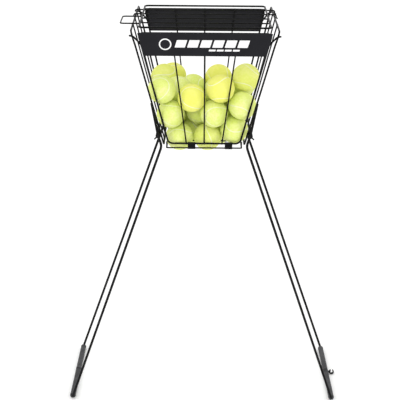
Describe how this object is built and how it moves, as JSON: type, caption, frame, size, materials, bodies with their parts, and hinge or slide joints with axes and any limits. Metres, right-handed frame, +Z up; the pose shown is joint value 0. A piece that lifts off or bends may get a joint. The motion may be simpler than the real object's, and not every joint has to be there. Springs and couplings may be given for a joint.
{
  "type": "tennis ball basket on folding wire legs",
  "caption": "Tapered black wire basket filled with tennis balls, with a hinged grid lid and two splayed wire legs that fold together into a carry handle.",
  "frame": {"origin": "on the floor, under the middle of the whole object with the legs splayed", "axes": "+Z up, +X to the right seen from the front sign, +Y to the back"},
  "size_m": [0.6744, 0.3464, 0.9373],
  "materials": {
    "wire": "gloss black powder coat on steel wire",
    "lid_wire": "gloss black powder coat on steel wire",
    "leg_wire": "gloss black powder coat on heavier steel wire",
    "fittings": "black coated steel",
    "sign": "satin black plastic sheet with a plain printed stripe motif",
    "grip": "dark grey ribbed soft rubber",
    "clip": "black moulded nylon",
    "felt": "bright yellow-green wool felt with a pale rubber seam"
  },
  "bodies": {
    "basket": {"side_frame_left": "wire", "side_frame_right": "wire", "front_grille": "wire", "back_grille": "wire", "floor_grid": "wire", "floor_clip_front_left": "fittings", "floor_clip_front_right": "fittings", "floor_clip_back_left": "fittings", "floor_clip_back_right": "fittings", "front_sign": "sign", "back_sign": "sign", "pivot_rod_left": "fittings", "pivot_rod_right": "fittings", "pivot_bracket_left_front": "fittings", "pivot_bracket_left_back": "fittings", "pivot_bracket_right_front": "fittings", "pivot_bracket_right_back": "fittings", "ball_01": "felt", "ball_02": "felt", "ball_03": "felt", "ball_04": "felt", "ball_05": "felt", "ball_06": "felt", "ball_07": "felt", "ball_08": "felt", "ball_09": "felt", "ball_10": "felt", "ball_11": "felt", "ball_12": "felt", "ball_13": "felt", "ball_14": "felt", "ball_15": "felt", "ball_16": "felt", "ball_17": "felt", "ball_18": "felt", "ball_19": "felt", "ball_20": "felt", "ball_21": "felt", "ball_22": "felt", "ball_23": "felt", "ball_24": "felt", "ball_25": "felt", "ball_26": "felt", "ball_27": "felt", "ball_28": "felt", "ball_29": "felt", "ball_30": "felt"},
    "lid": {"lid_grid": "lid_wire", "lid_pull_tab": "lid_wire"},
    "left_leg": {"leg_left": "leg_wire", "grip_left_front": "grip", "grip_left_back": "grip"},
    "right_leg": {"leg_right": "leg_wire", "grip_right_front": "grip", "grip_right_back": "grip"},
    "clip": {"handle_clip": "clip"}
  },
  "joints": [
    {"name": "left_leg_fold", "type": "hinge", "parent": "basket", "child": "left_leg", "pos_m": [-0.11505, 0, 0.674], "axis": [0, -1, 0], "range_deg": [0, 26.1]},
    {"name": "right_leg_fold", "type": "hinge", "parent": "basket", "child": "right_leg", "pos_m": [0.10055, 0, 0.674], "axis": [0, 1, 0], "range_deg": [0, 26.1]},
    {"name": "lid_hinge", "type": "hinge", "parent": "basket", "child": "lid", "pos_m": [0.15775, 0, 0.931], "axis": [0, 1, 0], "range_deg": [0, 180]},
    {"name": "clip_swivel", "type": "hinge", "parent": "right_leg", "child": "clip", "pos_m": [0.31575, 0, 0.007], "axis": [0, -1, 0], "range_deg": [0, 206.1]}
  ]
}
